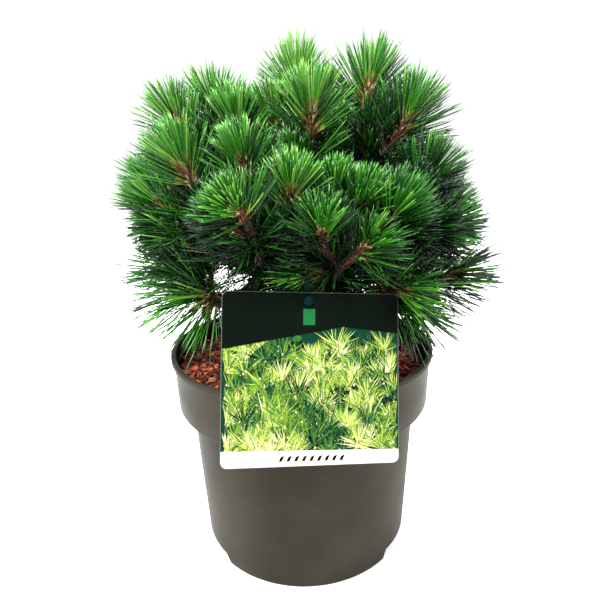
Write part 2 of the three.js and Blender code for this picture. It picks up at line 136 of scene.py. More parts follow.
# The bud of each shoot by azimuth, reach and height, some with how far the shoot turns up.
SHOOTS = {
    "top": [(88, 30, 336), (-40, 14, 316), (135, 22, 309)],
    "low_right": [(-10, 111, 209, 0.25), (-31, 90, 188, -0.45), (-44, 88, 208, -0.1)],
    "low_left": [
        (-174, 88, 212, -0.1),
        (-164, 86, 197, -0.5),
        (-141, 78, 200, -0.3),
        (-172, 80, 233, -0.1),
    ],
    "low_back": [(72, 98, 212), (108, 98, 210), (90, 104, 232)],
    "low_back_left": [(152, 100, 214), (130, 102, 214), (149, 104, 252), (122, 102, 254)],
    "front_right": [
        (-66, 57, 268),
        (-58, 72, 263, 0.1),
        (-79, 76, 251, 0.2),
        (-60, 83, 240, 0.15),
        (-88, 64, 215, -0.2),
    ],
    "low_back_right": [(18, 102, 214), (46, 102, 214), (38, 106, 250), (66, 102, 252)],
    "left": [(-157, 78, 285), (-174, 94, 256, -0.1), (178, 96, 267, -0.1)],
    "right": [(-13, 86, 272), (-15, 98, 242, -0.1), (-47, 82, 254), (4, 100, 247)],
    "front_left": [(-122, 59, 289), (-93, 62, 272), (-112, 90, 262, -0.25)],
    "upper_back": [(62, 82, 297), (86, 72, 306), (112, 82, 298), (96, 98, 266)],
    "top_right": [(25, 56, 331), (1, 74, 309, 0.2), (22, 76, 281)],
    "top_left": [(167, 85, 311), (150, 69, 320), (166, 41, 306), (150, 86, 288)],
}
# Shoots point away from the crown's heart, and the higher ones turn up more.
CROWN = {"heart": (0, 0, 190), "from": 200, "over": 100, "least": -0.1, "most": 0.4}
SHOOT = {"gap": 0.3, "knob": 10, "twig": 1.7, "brush_radius": 2.1, "bend": 0.5}
# The lengths and radii of the buds.
BUD = {"main": (9.5, 1.4), "small": (5.5, 1)}

# The zones of needles, each from its far end to its near one: the distances behind the bud, the
# number of pairs, the angles to the shoot, the lengths and the tones. The tones darken the needles
# far behind the bud and the old and inner ones, partly as the older needles' own colour and partly
# as painted shade at the foot of each brush and deep in the crown.
ZONES = {
    "young": ((19, 0.5), 190, (58, 15), (42, 36), (-0.26, 0.1)),
    "low": ((30, 0.5), 92, (54, 16), (50, 42), (-0.1, 0.06)),
    "old": ((66, 30), 82, (78, 46), (46, 44), (-0.34, -0.24)),
    "inner": ((54, 0), 150, (88, 50), (46, 46), (-0.34, -0.24)),
    "inner_low": ((50, 0), 38, (84, 60), (46, 46), (-0.2, -0.1)),
}
# Needles stand in pairs. Low ones droop, and a needle takes the first share of its length that has
# room at all the places where it is checked.
NEEDLE = {
    "widths": (1, 0.9),
    "pair_angle": 7,
    "low_height": 216,
    "low_stem": 196,
    "sparse_height": 201,
    "sparse_share": 0.55,
    "droop": 0.15,
    "droop_below": 260,
    "droop_over": 60,
    "lengths": (1, 0.84, 0.68, 0.52),
    "checked": (0.25, 0.4, 0.55, 0.7, 0.8, 0.9, 1.0),
    "margin": 1.0,
    "flex": (0.05, 0.1),
}
# How light the needles of a shoot are by the height and place of its bud, how far they vary, and
# how much lighter the older ones are where they droop. The rise with height is partly the shoots'
# own colour and partly painted light. The change by place is painted light and shade, darker
# towards the flanks, more on the right, and lighter towards the back. The lift of the drooping older
# needles is painted light where the crown shades them, and the low tone of the inner needles is
# partly painted shade.
TONE = {
    "low": 0.69,
    "high": 0.82,
    "from": 205,
    "over": 115,
    "painted_light_by_place": np.array([-0.0008, 0.0008, 0]),
    "painted_shade_aside": -0.0019,
    "spread": 0.05,
    "needles": (0.17, 0.2),
    "painted_light_old_lift": 0.15,
    "inner": 0.4,
    "side_shoot": -0.25,
}
# One side of each shoot has lost its needles except near the bud, so that its brown column shows.
BARE = {"front": np.array([0.0, -1.0, 0.2]), "front_below": 40, "half_angle": 74, "below": 0.8, "left": 0.06}
# The lines along which the crown is open low on its left, how far needles keep from them, and
# the share of needles that still cross.
OPENING = {
    "lines": [[(-44, -75, 224), (-71, 95, 182)], [(-36, -75, 219), (-58, 95, 174)]],
    "radius": 5.5,
    "crossed": 0.1,
}
# Below its needles a shoot is clad in short brown scales, and most of the young pairs show a
# sheath. The chances are those of the four browns.
SCALES = {
    "behind": (32, 5),
    "count": 110,
    "angle": 15,
    "length": 4.2,
    "radius": 0.5,
    "high_chances": [0.34, 0.28, 0.12, 0.26],
    "low_chances": [0.2, 0.05, 0, 0.75],
    "foot_below": 0.45,
    "foot_chances": [0.16, 0.04, 0, 0.8],
}
SHEATH = {"length": 5, "radius": 0.65, "share": 0.66, "chances": [0.22, 0.38, 0.34, 0.06]}
SIDE_SHOOT = {"along": 0.3, "length": 24, "room": 34.0, "angle": 50, "scale": 0.8}


def unit(vectors):
    return vectors / np.linalg.norm(vectors, axis=-1, keepdims=True)


def place(azimuth, reach, height):
    turn = math.radians(azimuth)
    return np.array([reach * math.cos(turn), reach * math.sin(turn), height])


def lerp(start, end, share):
    return start + (end - start) * share


def linear(red, green, blue):
    """A colour given as 0 to 255 on screen, in the renderer's linear values."""
    shares = (np.array([red, green, blue]) / 255 + 0.055) / 1.055
    return (*(float(share) for share in shares**2.4), 1.0)


def add_object(name, data):
    made = bpy.data.objects.new(name, data)
    bpy.context.scene.collection.objects.link(made)
    return made


class Heap:
    """Collects the points and faces of one piece, each face with a material's index."""

    def __init__(self):
        self.points = []
        self.faces = []
        self.count = 0

    def add(self, forms, groups, slots=0):
        """Adds one form or a row of them, all with the same groups of faces.

        slots has a material's index for each form, or is a list with an entry for each group.
        """
        forms = np.asarray(forms, float)
        count, size = math.prod(forms.shape[:-2]), forms.shape[-2]
        starts = self.count + size * np.arange(count)[:, None, None]
        for index, faces in enumerate(groups):
            own = np.broadcast_to(slots[index] if isinstance(slots, list) else slots, (count,))
            self.faces.append(((faces + starts).reshape(-1, faces.shape[1]), np.repeat(own, len(faces))))
        self.points.append(forms.reshape(-1, 3))
        self.count += count * size

    def build(self, name, materials, finish, nodes=(), sharp=180):
        """Makes the object, lets it ride with the plant and hides the parts of the solid model that it
        stands for.
        """
        points = np.concatenate(self.points) * MM
        corners = np.concatenate([faces.ravel() for faces, slots in self.faces])
        sizes = np.concatenate([np.full(len(faces), faces.shape[1]) for faces, slots in self.faces])
        slots = np.concatenate([slots for faces, slots in self.faces])
        mesh = bpy.data.meshes.new(name)
        mesh.vertices.add(len(points))
        mesh.vertices.foreach_set("co", points.astype(np.float32).ravel())
        mesh.loops.add(len(corners))
        mesh.loops.foreach_set("vertex_index", corners.astype(np.int32))
        mesh.polygons.add(len(sizes))
        starts = np.concatenate([[0], np.cumsum(sizes)[:-1]])
        mesh.polygons.foreach_set("loop_start", starts.astype(np.int32))
        mesh.polygons.foreach_set("material_index", slots.astype(np.int32))
        for material in materials:
            mesh.materials.append(material)
        mesh.update(calc_edges=True)
        mesh.validate()
        mesh.shade_smooth()
        if sharp < 180:
            mesh.set_sharp_from_angle(angle=math.radians(sharp))
        made = add_object(name, mesh)
        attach(made, "root")
        if nodes:
            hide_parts(*nodes)
        return made


def ring_faces(rings, sides):
    """Quads between rings of equally many points."""
    ring, side = np.meshgrid(np.arange(rings - 1), np.arange(sides), indexing="ij")
    here = (ring * sides + side).ravel()
    beside = (ring * sides + (side + 1) % sides).ravel()
    return np.stack([here, beside, beside + sides, here + sides], axis=1)


def pointed(rings, sides):
    """The faces of rings of points, with a fan to one more point at each end."""
    side = np.arange(sides)
    beside = (side + 1) % sides
    last = (rings - 1) * sides
    foot = np.stack([np.full(sides, rings * sides), beside, side], axis=1)
    tip = np.stack([np.full(sides, rings * sides + 1), last + side, last + beside], axis=1)
    return [ring_faces(rings, sides), foot, tip]


def flat_ended(rings, sides):
    """The faces of rings of points, with one flat face at each end."""
    side = np.arange(sides)[None]
    return [ring_faces(rings, sides), side[:, ::-1], side + (rings - 1) * sides]


def round_angles(sides):
    return np.arange(sides) * 2 * math.pi / sides


def square_to(ways):
    """Two directions at right angles to the given ones and to each other."""
    side = unit(np.cross(ASLANT, ways))
    return side, np.cross(ways, side)


def add_tube(heap, path, radii, sides, slot, relief=lambda index, angles: 0):
    """A tube along a path, closed to a point at each end. relief changes the radius by place."""
    path = np.asarray(path, float)
    across = ASLANT
    rings = []
    angles = round_angles(sides)
    for index, (at, way) in enumerate(zip(path, unit(np.gradient(path, axis=0)))):
        across = unit(across - way * across.dot(way))
        third = np.cross(way, across)
        radius = radii[index] + relief(index, angles)
        rings.append(
            at
            + np.outer(radius * np.cos(angles), across)
            + np.outer(radius * np.sin(angles), third)
        )
    points = np.concatenate([*rings, path[:1], path[-1:]])
    heap.add(points, pointed(len(path), sides), slot)


# The lines of the trunk, the boughs and the shoots.
def trunk_line():
    """A centripetal curve through the trunk's points, as closely spaced points."""
    points = np.array(TRUNK["path"], float)
    ends = [2 * points[0] - points[1], *points, 2 * points[-1] - points[-2]]
    line = []
    for index in range(len(points) - 1):
        p0, p1, p2, p3 = ends[index : index + 4]
        t0, t1, t2 = (math.sqrt(np.linalg.norm(b - a)) for a, b in ((p0, p1), (p1, p2), (p2, p3)))
        start = ((p1 - p0) / t0 - (p2 - p0) / (t0 + t1) + (p2 - p1) / t1) * t1
        end = ((p2 - p1) / t1 - (p3 - p1) / (t1 + t2) + (p3 - p2) / t2) * t1
        for share in np.linspace(0, 1, 60, endpoint=False):
            square, cube = share**2, share**3
            line.append(
                p1 * (2 * cube - 3 * square + 1)
                + start * (cube - 2 * square + share)
                + p2 * (3 * square - 2 * cube)
                + end * (cube - square)
            )
    return np.array([*line, points[-1]])


trunk_points = trunk_line()


def trunk_at(height):
    return np.array([np.interp(height, trunk_points[:, 2], trunk_points[:, axis]) for axis in range(3)])


def bezier(start, bend, end, shares):
    shares = np.asarray(shares, float)[:, None]
    return (1 - shares) ** 2 * start + 2 * shares * (1 - shares) * bend + shares**2 * end


def bough_line(start, tip, shares):
    root = trunk_at(start)
    end = place(*tip)
    bend = lerp(root, end, BOUGH["reach"])
    bend[2] = lerp(root[2], end[2], BOUGH["rise"])
    return bezier(root, bend, end, shares)


def shoot_controls(knob, row):
    bud = place(*row[:3])
    lift = min(max((bud[2] - CROWN["from"]) / CROWN["over"], CROWN["least"]), CROWN["most"])
    aim = unit(bud - np.array(CROWN["heart"]))
    aim = unit(aim + UP * (row[3] if len(row) > 3 else lift))
    bend = bud - aim * SHOOT["bend"] * np.linalg.norm(bud - knob)
    return knob, bend, bud


def mass(name, ends, line, share):
    """A mass's name, its limb's outer part, its stem's two ends, its needle share and its shoots."""
    way = unit(ends[1] - ends[0])
    knob = ends[1] + way * SHOOT["knob"]
    return {
        "name": name,
        "limb": [*line, knob],
        "stem": (ends[1] + way * SHOOT["gap"], knob),
        "share": share,
        "shoots": [shoot_controls(knob, row) for row in SHOOTS[name]],
    }


masses = [mass("top", trunk_points[TOP["stem"]], trunk_points[TOP["limb"]], TOP["share"])]
for name, (start, tip, share) in BOUGHS.items():
    ends = bough_line(start, tip, [1 - 1 / BOUGH["steps"], 1])
    masses.append(mass(name, ends, bough_line(start, tip, [0.35, 0.7]), share))


# The label's own frame: x to its right, y away from the viewer, z up its face.
card_frame = (
    Matrix.Translation(CARD["centre"])
    @ Matrix.Rotation(math.radians(CARD["turn"]), 4, "Z")
    @ Matrix.Rotation(math.radians(CARD["lean"]), 4, "X")
    @ Matrix.Rotation(math.radians(CARD["roll"]), 4, "Y")
)
card_axes = np.array(card_frame.to_3x3())
card_centre = np.array(CARD["centre"], float)


def from_card(points):
    return np.asarray(points, float) @ card_axes.T + card_centre


def clear_of_card(points, margin):
    local = (points - card_centre) @ card_axes
    beside = np.abs(local[..., 0]) > CARD["width"] / 2 + margin
    above = np.abs(local[..., 2]) > CARD["height"] / 2 + margin
    return beside | above | (local[..., 1] > CARD["thickness"] + margin)


def clear_of_pot(points, margin):
    radius = np.hypot(points[..., 0], points[..., 1])
    above = points[..., 2] > POT["height"] + margin
    outside = radius > POT["rim"] + margin
    inside = radius < POT["collar_top"] - POT["wall"] - margin
    return above | outside | inside & (points[..., 2] > BED["clear"] + margin)


def clear_of_line(points, foot, head, radius):
    foot, head = np.array(foot, float), np.array(head, float)
    way = head - foot
    share = np.clip((points - foot) @ way / way.dot(way), 0, 1)
    return np.linalg.norm(points - (foot + share[..., None] * way), axis=-1) > radius


# Materials. Each one's tree of nodes is the first value of the functions that add to it.
def shader(name, colour, roughness, specular=0.5):
    material = bpy.data.materials.new(name)
    material.use_nodes = True
    surface = material.node_tree.nodes["Principled BSDF"]
    surface.inputs["Base Color"].default_value = colour
    surface.inputs["Roughness"].default_value = roughness
    surface.inputs["Specular IOR Level"].default_value = specular
    return material, material.node_tree


def add_step(tree, kind, socket, value, result, target, settings):
    """A node between a texture's value and one of the surface's inputs."""
    node = tree.nodes.new(kind)
    for key, setting in settings.items():
        node.inputs[key].default_value = setting
    tree.links.new(value, node.inputs[socket])
    tree.links.new(node.outputs[result], tree.nodes["Principled BSDF"].inputs[target])
    return node


def noise(tree, scale, detail):
    places = tree.nodes.new("ShaderNodeTexCoord")
    texture = tree.nodes.new("ShaderNodeTexNoise")
    texture.inputs["Scale"].default_value = scale
    texture.inputs["Detail"].default_value = detail
    tree.links.new(places.outputs["Object"], texture.inputs["Vector"])
    return texture.outputs["Fac"]


def vary(tree, value, colours):
    """Runs the base colour through several colours by a value from a texture."""
    ramp = add_step(tree, "ShaderNodeValToRGB", "Fac", value, "Color", "Base Color", {})
    stops = ramp.color_ramp.elements
    while len(stops) < len(colours):
        stops.new(0.5)
    for index, colour in enumerate(colours):
        stops[index].position = lerp(0.35, 0.65, index / (len(colours) - 1))
        stops[index].color = colour


def bump(tree, value, strength, distance):
    settings = {"Strength": strength, "Distance": distance}
    add_step(tree, "ShaderNodeBump", "Height", value, "Normal", "Normal", settings)


def rough(tree, value, low, high):
    settings = {"To Min": low, "To Max": high}
    add_step(tree, "ShaderNodeMapRange", "Value", value, "Result", "Roughness", settings)


def plastic(name, colour, dark, light, low, high):
    material, tree = shader(name, colour, low, 0.03)
    vary(tree, noise(tree, 26, 6), [dark, colour, light])
    rough(tree, noise(tree, 90, 4), low, high)
    bump(tree, noise(tree, 1400, 2), 0.12, 0.0003)
    return material


def needle_green(index, colour):
    """Darker needles, the older ones and those darkened as painted shade, are duller."""
    gloss = 0.2 + 0.045 * min(index, 5)
    material, tree = shader(f"needle_green_{index}", linear(*colour), 0.25, gloss)
    rough(tree, noise(tree, 700, 2), 0.18, 0.32)
    return material


# The greens from dark to light. From the fifth on they are light, and their needles have a paler
# foot in the last colour of all.
GREENS = [(5, 18, 8), (10, 32, 13), (16, 49, 15), (24, 75, 14), (38, 105, 18), (58, 126, 28), (98, 151, 56)]
LIGHT_GREENS = 4
FOOT_GREEN = (138, 150, 70)
needle_materials = [needle_green(*pair) for pair in enumerate([*GREENS, FOOT_GREEN])]


def lit(colour, share):
    """A colour made darker or lighter."""
    return (*(min(share * part, 1) for part in colour[:3]), 1)


def brown(name, colour, roughness, scale):
    material, tree = shader(name, colour, roughness)
    vary(tree, noise(tree, scale, 5), [lit(colour, 0.5), colour, lit(colour, 1.5)])
    bump(tree, noise(tree, 2.2 * scale, 4), 0.5, 0.0006)
    return material


def browns(prefix, colours, roughness, scale):
    pairs = enumerate(colours)
    return [brown(f"{prefix}_{index}", linear(*colour), roughness, scale) for index, colour in pairs]


SHEATHS = [(88, 36, 14), (140, 68, 22), (190, 166, 116), (38, 18, 11)]
CHIPS = [(74, 24, 14), (110, 38, 20), (140, 56, 28), (168, 84, 44), (42, 17, 12), (190, 122, 74)]
DARK_CHIP = 4
sheath_materials = browns("sheath", SHEATHS, 0.6, 500)
bud_materials = browns("bud", [(172, 142, 100), (198, 180, 144), (138, 78, 38)], 0.6, 600)
twig_materials = browns("twig", [(46, 28, 20), (34, 25, 20)], 0.75, 350)
bark_materials = browns("limb_bark", [(42, 33, 27)], 0.88, 120)
chip_materials = browns("bark_chip", CHIPS, 0.85, 260)
soil_materials = browns("compost_dark", [(44, 32, 26)], 0.95, 180)


# The container.
def lathe(outline, sides):
    """A closed surface turned about the upright axis from (radius, height) pairs."""
    outline = np.asarray(outline, float)
    turns = round_angles(sides)
    radius, height = outline[1:-1].T[..., None]
    points = np.stack(np.broadcast_arrays(radius * np.cos(turns), radius * np.sin(turns), height), axis=2)
    ends = [[0, 0, outline[0, 1]], [0, 0, outline[-1, 1]]]
    return np.concatenate([points.reshape(-1, 3), ends]), pointed(len(radius), sides)


def pot_outline():
    wall = POT["wall"]
    rim, top = POT["rim"], POT["height"]
    collar_high, lip = POT["collar_top"], top - POT["lip_depth"]
    collar_low, collar = POT["collar_foot_radius"], POT["collar_foot"]
    body, body_radius = POT["body_top"], POT["body_top_radius"]
    base, inset, rise = POT["base"], POT["corner_inset"], POT["corner_rise"]
    slope = (body_radius - base) / body
    outside = [
        (0, 0),
        (POT["notch_inner"] - 6, 0),
        (base - 1.2, 0),
        (base - 0.3, 0.35),
        (base, 1.2),
        (base + slope * 7.3, 7.3),
        (base + slope * 40, 40),
        (base + slope * 75, 75),
        (body_radius - 0.3, body - 5),
        (body_radius, body - 1.2),
        (body_radius + 0.5, body),
        (body_radius + 1.6, body + 0.9),
        (collar_low - 1.8, collar - 1.6),
        (collar_low - 0.6, collar - 0.9),
        (collar_low, collar + 0.4),
        (lerp(collar_low, collar_high, 0.5), lerp(collar, top, 0.5)),
        (collar_high - 0.1, lip - 0.5),
        (collar_high + 0.2, lip),
        (rim - 0.5, lip + 0.2),
        (rim, lip + 0.9),
        (rim, top - 0.9),
        (rim - 0.3, top - 0.25),
        (rim - 1, top),
    ]
    inner_top, inner_collar = collar_high - wall, collar_low - wall
    inside = [
        (inner_top + 0.5, top),
        (inner_top, top - 0.5),
        (lerp(inner_top, inner_collar, 0.5), lerp(top, collar, 0.5)),
        (inner_collar, collar),
        (body_radius - wall, body),
        (base - wall, rise + POT["floor"]),
        (base - inset, POT["floor"]),
        (0, POT["floor"]),
    ]
    return outside + inside


def cutter(points, groups):
    mesh = bpy.data.meshes.new("cutter")
    mesh.from_pydata((points * MM).tolist(), [], [face for faces in groups for face in faces.tolist()])
    return add_object("cutter", mesh)


def notch_cutter(middle):
    """A curved block with slanted ends, which takes a notch from the pot's foot."""
    half, slope = POT["notch_half_angle"], POT["notch_slope"]
    shares = np.linspace(-1, 1, 25)
    corners = []
    for reach, height in ((half, -3), (half - slope, POT["notch_height"])):
        corners += [place(middle + reach * share, POT["rim"], height) for share in shares]
        corners += [place(middle - reach * share, POT["notch_inner"], height) for share in shares]
    return cutter(np.array(corners), flat_ended(2, 2 * len(shares)))


def drain_cutter(index):
    radius, reach = POT["drain_radius"], 6
    points, groups = lathe([(0, -reach), (radius, -reach), (radius, reach), (0, reach)], 24)
    return cutter(points + place((index + 0.5) * 360 / POT["drain_holes"], POT["drain_ring"], 0), groups)


def make_pot():
    heap = Heap()
    heap.add(*lathe(pot_outline(), POT["sides"]))
    grey = plastic("pot_grey", linear(45, 42, 35), linear(42, 39, 32), linear(49, 46, 38), 0.38, 0.48)
    crease = 32
    pot = heap.build("pot_shell", [grey], "pot_plastic", ["pot"], sharp=crease)
    cutters = [notch_cutter(0), notch_cutter(180)]
    cutters += [drain_cutter(index) for index in range(POT["drain_holes"])]
    for tool in cutters:
        cut = pot.modifiers.new("cut", "BOOLEAN")
        cut.operation = "DIFFERENCE"
        cut.solver = "MANIFOLD"
        cut.object = tool
    bpy.context.view_layer.update()
    shaped = bpy.data.meshes.new_from_object(pot.evaluated_get(bpy.context.evaluated_depsgraph_get()))
    pot.modifiers.clear()
    pot.data = shaped
    shaped.set_sharp_from_angle(angle=math.radians(crease))
    for tool in cutters:
        bpy.data.objects.remove(tool)


# The bed of bark.
def swell(x, y):
    """How far the bed rises at a place."""
    return 0.8 * (np.sin(x * 0.11 + 1) * np.cos(y * 0.13) + 0.6 * np.sin(x * 0.31 + y * 0.27))


def make_bed(rng):
    """The uneven ground under the loose chips."""
    rings, sides = 40, 120
    reach = np.linspace(0.5, BED["edge"], rings)[:, None]
    turn = round_angles(sides)[None]
    x, y = reach * np.cos(turn), reach * np.sin(turn)
    ground, floor = BED["top"] - 1.5, BED["soil_top"] + 0.3
    height = ground + swell(x, y) + 0.5 * rng.standard_normal(x.shape)
    top = np.stack([x, y, height], axis=2).reshape(-1, 3)
    foot = np.stack([x[-1], y[-1], np.full(sides, floor)], axis=1)
    heap = Heap()
    points = np.concatenate([top, foot, [[0, 0, ground], [0, 0, floor]]])
    heap.add(points, [faces[:, ::-1] for faces in pointed(rings + 1, sides)])
    heap.build("bark_bed", [chip_materials[DARK_CHIP]], "bark_chips", ["bark_mulch"])


def make_chips(rng):
    """Loose five-cornered chips on the bed, with a gap round the trunk."""
    outline = [(-1, -0.6), (0.2, -1), (1, -0.35), (0.75, 0.7), (-0.7, 1)]
    corners = np.array([[x, y, z] for z in (-0.5, 0.5) for x, y in outline])
    flats = np.array([[0, 4, 3], [0, 3, 2], [0, 2, 1], [5, 6, 7], [5, 7, 8], [5, 8, 9]])
    count = BED["chips"]
    reach = (BED["edge"] - 3) * np.sqrt(rng.random(count))
    turn = rng.random(count) * 2 * math.pi
    trunk_gap = 11 + 2 * rng.random(count)
    reach = np.maximum(reach, trunk_gap)
    size = 1.3 + 2.6 * rng.random(count) ** 2
    slots = rng.choice(len(chip_materials), count, p=[0.24, 0.26, 0.2, 0.12, 0.12, 0.06])
    chips = []
    for index in range(count):
        chip = corners * [size[index] * 1.3, size[index] * (0.5 + 0.3 * rng.random()), 0.7 + rng.random()]
        chip = chip + rng.normal(0, 0.18, chip.shape)
        spin = Matrix.Rotation(rng.random() * 6.3, 3, "Z") @ Matrix.Rotation(rng.normal(0, 0.35), 3, "X")
        tilt = Matrix.Rotation(rng.normal(0, 0.35), 3, "Y")
        x, y = reach[index] * math.cos(turn[index]), reach[index] * math.sin(turn[index])
        middle = [x, y, BED["top"] - 0.6 + swell(x, y) + 1.6 * rng.random()]
        chips.append(chip @ np.array(spin @ tilt).T + middle)
    heap = Heap()
    heap.add(chips, [flats, ring_faces(2, len(outline))], slots)
    heap.build("bark_chips", chip_materials, "bark_chips", sharp=30)


# The label and its peg.
def prism(heap, outline, front, back, slot):
    """A flat plate with the label's x and z as its outline, between two values of y."""
    points = [[x, y, z] for y in (back, front) for x, z in outline]
    heap.add(from_card(points), flat_ended(2, len(outline)), slot)


def rounded_rectangle(width, height, corner, steps=8):
    outline = []
    for quarter in range(4):
        x = (width / 2 - corner) * (1 if quarter in (0, 3) else -1)
        z = (height / 2 - corner) * (1 if quarter in (0, 1) else -1)
        for step in range(steps + 1):
            turn = math.pi / 2 * (quarter + step / steps)
            outline.append((x + corner * math.cos(turn), z + corner * math.sin(turn)))
    return outline


# What is printed: the picture's slanted upper edge and the strip's upper edge as points, the tag's
# middle and half sizes, and the height of each layer above the card's face.
PRINT = {
    "edge": 0.3,
    "slant": [(-51.8, 16.9), (18.4, 29.8), (51.8, 26.2)],
    "strip": [(-51.8, -40.1), (51.8, -41.5)],
    "tag": (-1.9, 35.5, 3.5, 4.7),
    "patches": 420,
    "fans": 150,
    "blades": 44,
    "leaves": 9,
    "leaf_pitch": 4.4,
    "layer": 0.0006,
    "heights": {"ground": 0.02, "patches": 0.03, "fans": 0.13, "fields": 0.24, "marks": 0.26},
}
INKS = {
    "ink_paper": (180, 179, 172),
    "ink_dark": (6, 13, 8),
    "ink_deep_teal": (10, 46, 34),
    "ink_green": (46, 88, 34),
    "ink_leaf": (98, 126, 40),
    "ink_lime": (136, 156, 62),
    "ink_yellow": (166, 176, 96),
    "ink_cream": (186, 184, 142),
    "ink_tan": (120, 90, 76),
    "ink_tag": (22, 88, 46),
    "card_core": (88, 90, 84),
}
PAPER, DARK, TEAL, GREEN, LEAF, LIME, YELLOW, CREAM, TAN, TAG, CORE = range(len(INKS))
FAN_TONES = [
    (DARK, TEAL, GREEN),
    (TEAL, GREEN, LEAF),
    (GREEN, LEAF, LIME),
    (GREEN, LIME, YELLOW),
    (LEAF, YELLOW, CREAM),
]
FACE = -CARD["thickness"] / 2
WIDE = CARD["width"] / 2 - PRINT["edge"]


def ink(name, colour):
    material, tree = shader(name, colour, 0.42, 0.02)
    vary(tree, noise(tree, 120, 3), [lit(colour, 0.86), colour])
    return material


def oval(middle, across, up, sides):
    turns = round_angles(sides)
    return middle + np.stack([across * np.cos(turns), up * np.sin(turns)], axis=1)


def add_print(heap, outline, layer, slot, extra=0):
    prism(heap, outline, FACE - PRINT["heights"][layer] - extra, FACE, slot)


def print_patches(heap, rng):
    """Soft patches of the picture's ground."""
    count = PRINT["patches"]
    at = np.stack([rng.uniform(-WIDE + 3, WIDE - 3, count), rng.uniform(-38, 24, count)], axis=1)
    for index, middle in enumerate(at):
        size = rng.uniform(1.2, 3.2)
        lobes = rng.uniform(0.6, 1.2, 9) * size
        outline = oval(middle, lobes, lobes, 9)
        outline[:, 0] = np.clip(outline[:, 0], -WIDE, WIDE)
        slot = int(rng.choice([TEAL, GREEN, LEAF, DARK], p=[0.34, 0.26, 0.1, 0.3]))
        add_print(heap, outline, "patches", slot, 0.0002 * index)


def add_grass(heap, roots, ways, lengths, widths, front, slots):
    """Thin pointed blades in the label's plane, each closed and as thick as ink."""
    along = ways * lengths[:, None]
    across = np.stack([ways[:, 1], -ways[:, 0]], axis=1) * widths[:, None]
    middle = roots + along * 0.4
    left = [roots + across * 0.3, middle + across / 2]
    right = [middle - across / 2, roots - across * 0.3]
    corners = np.stack([*left, roots + along, *right], axis=1)
    keep = (np.abs(corners) < (WIDE, 44)).all(axis=(1, 2))
    corners, front, slots = corners[keep], front[keep], slots[keep]
    points = np.zeros((len(corners), 10, 3))
    points[..., [0, 2]] = np.concatenate([corners, corners], axis=1)
    points[..., 1] = front[:, None] + np.repeat([0.02, 0], 5)
    heap.add(from_card(points), flat_ended(2, 5), slots)


def print_fans(heap, rng):
    """Fans of grass-like blades with a few seeds, the nearest last and lowest."""
    fans, each = PRINT["fans"], PRINT["blades"]
    spread_out = (np.arange(fans) * 0.618) % 1
    centres = np.stack([lerp(-WIDE, WIDE, spread_out), np.linspace(18, -46, fans)], axis=1)
    centres += rng.normal(0, 1.5, centres.shape)
    for index, centre in enumerate(centres):
        lean = rng.normal(0, 0.35)
        spread = rng.uniform(1.1, 2.2)
        turns = lean + rng.uniform(-spread, spread, each)
        ways = np.stack([np.sin(turns), np.cos(turns)], axis=1)
        lengths = rng.uniform(8, 17) * rng.uniform(0.6, 1.1, each)
        widths = rng.uniform(0.35, 0.8, each)
        tone = rng.choice(FAN_TONES, p=[0.2, 0.24, 0.22, 0.18, 0.16])
        slots = rng.choice(tone, each, p=[0.34, 0.36, 0.3])
        front = FACE - PRINT["heights"]["fans"] - PRINT["layer"] * (index + 0.75 * rng.random(each))
        roots = centre + rng.normal(0, 0.7, (each, 2))
        add_grass(heap, roots, ways, lengths, widths, front, slots)
        for slot in (CREAM, TAN, CREAM):
            middle = centre + rng.normal(0, 1.2, 2)
            if abs(middle[0]) < WIDE - 2 and abs(middle[1]) < 42:
                add_print(heap, oval(middle, 0.5, 0.8, 7), "fans", slot, PRINT["layer"] * (index + 1))


def print_fields(heap):
    """The dark field above the picture, the pale strip below it, a tag and a row of leaves."""
    edge, strip = PRINT["edge"], PRINT["strip"]
    whole = rounded_rectangle(2 * WIDE, CARD["height"] - 2 * edge, CARD["corner"] - edge)
    add_print(heap, [point for point in whole if point[1] > 0] + PRINT["slant"], "fields", DARK)
    add_print(heap, [point for point in whole if point[1] < 0] + strip[::-1], "fields", PAPER)
    x, z, dx, dz = PRINT["tag"]
    tag = [(x - dx, z - dz), (x + dx, z - dz), (x + dx, z + dz), (x - dx, z + dz)]
    add_print(heap, tag, "marks", TAG)
    for step in range(PRINT["leaves"]):
        x = PRINT["leaf_pitch"] * (step - (PRINT["leaves"] - 1) / 2)
        z = -45.2 - 0.012 * x
        leaf = [(x - 1.6, z - 1.6), (x + 0.2, z - 1.5), (x + 1.6, z + 1.7), (x - 0.5, z + 0.9)]
        add_print(heap, leaf, "marks", DARK)


def make_label(rng):
    heap = Heap()
    width, height, corner = CARD["width"], CARD["height"], CARD["corner"]
    prism(heap, rounded_rectangle(width, height, corner), FACE, -FACE, CORE)
    prism(heap, rounded_rectangle(width - 1, height - 1, corner - 0.5), -FACE - 0.1, -FACE + 0.03, PAPER)
    low = [(x, z - 1) for x, z in PRINT["strip"]]
    add_print(heap, [*PRINT["slant"][::-1], *low], "ground", TEAL)
    print_patches(heap, rng)
    print_fans(heap, rng)
    print_fields(heap)
    inks = [ink(name, linear(*colour)) for name, colour in INKS.items()]
    heap.build("label", inks, "printed_card", ["label_card"], sharp=30)


